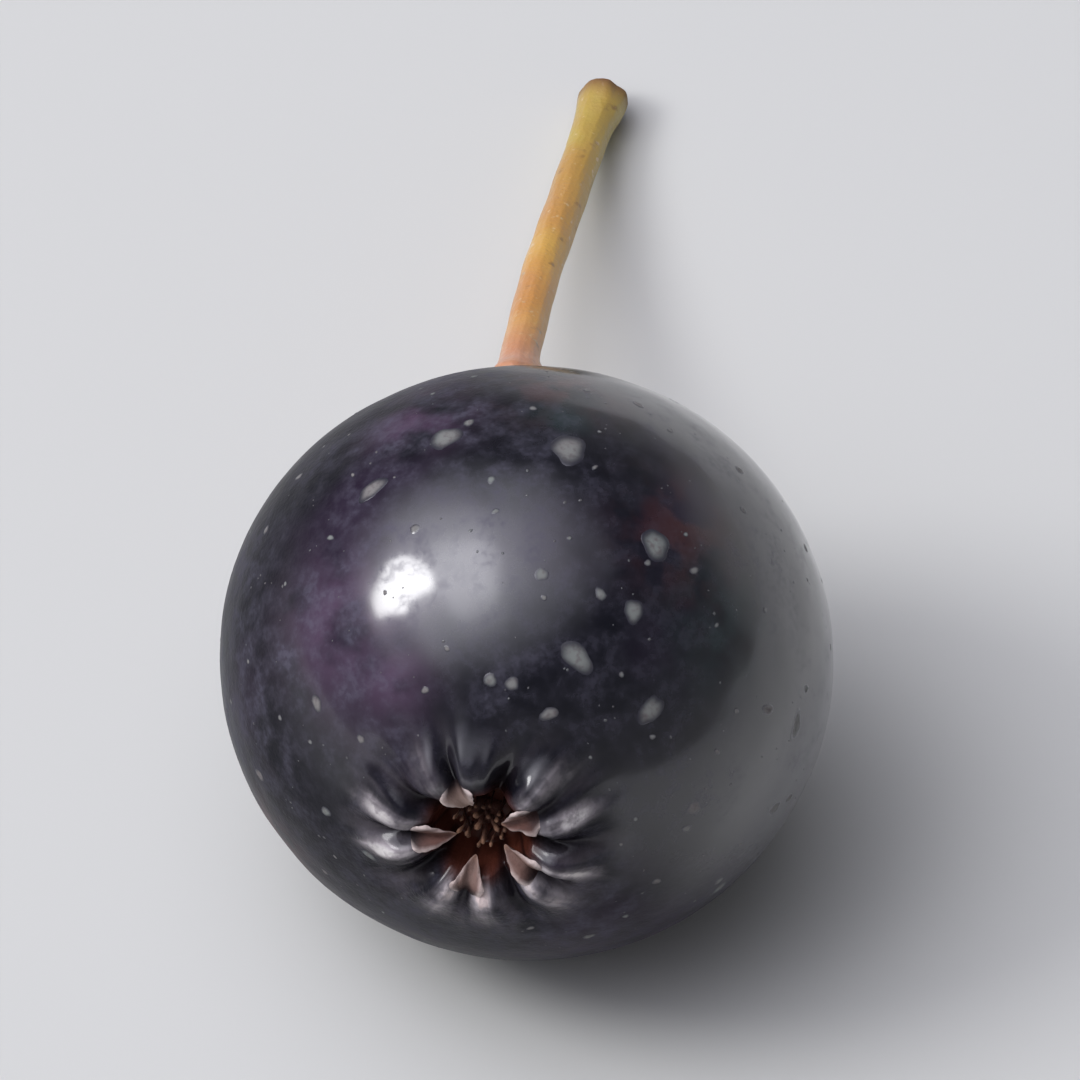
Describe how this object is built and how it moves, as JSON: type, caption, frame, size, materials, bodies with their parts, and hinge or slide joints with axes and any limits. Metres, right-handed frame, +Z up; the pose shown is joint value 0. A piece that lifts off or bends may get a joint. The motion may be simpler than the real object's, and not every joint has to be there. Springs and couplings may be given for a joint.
{
  "type": "aronia berry",
  "caption": "Near-black round berry with a puckered star-shaped calyx crown at one end and a slender curved stalk at the other, lying on its side.",
  "frame": {"origin": "in the middle of the small flat under the fruit, on the surface that the berry rests on", "axes": "+Z up from the resting surface, +Y towards the free end of the stalk, so the calyx crown looks towards -Y and a little up and to -X, +X to the right as seen by a viewer who faces the crown"},
  "size_m": [0.0115, 0.0228, 0.0112],
  "materials": {
    "skin": "waxy skin, near-black with a blue and purple cast, thin grey bloom and pale corky lenticels",
    "dried_sepal": "dry sepals, dark red-brown with pale pinkish edges, matte with a slight sheen",
    "dried_flower": "withered dark red-brown styles, matte",
    "stalk": "smooth thin bark, yellow-green turning orange and crimson towards the fruit, satin"
  },
  "bodies": {
    "root": {"fruit": "skin", "stalk": "stalk", "sepal_1": "dried_sepal", "sepal_2": "dried_sepal", "sepal_3": "dried_sepal", "sepal_4": "dried_sepal", "sepal_5": "dried_sepal", "dried_styles": "dried_flower"}
  },
  "joints": []
}
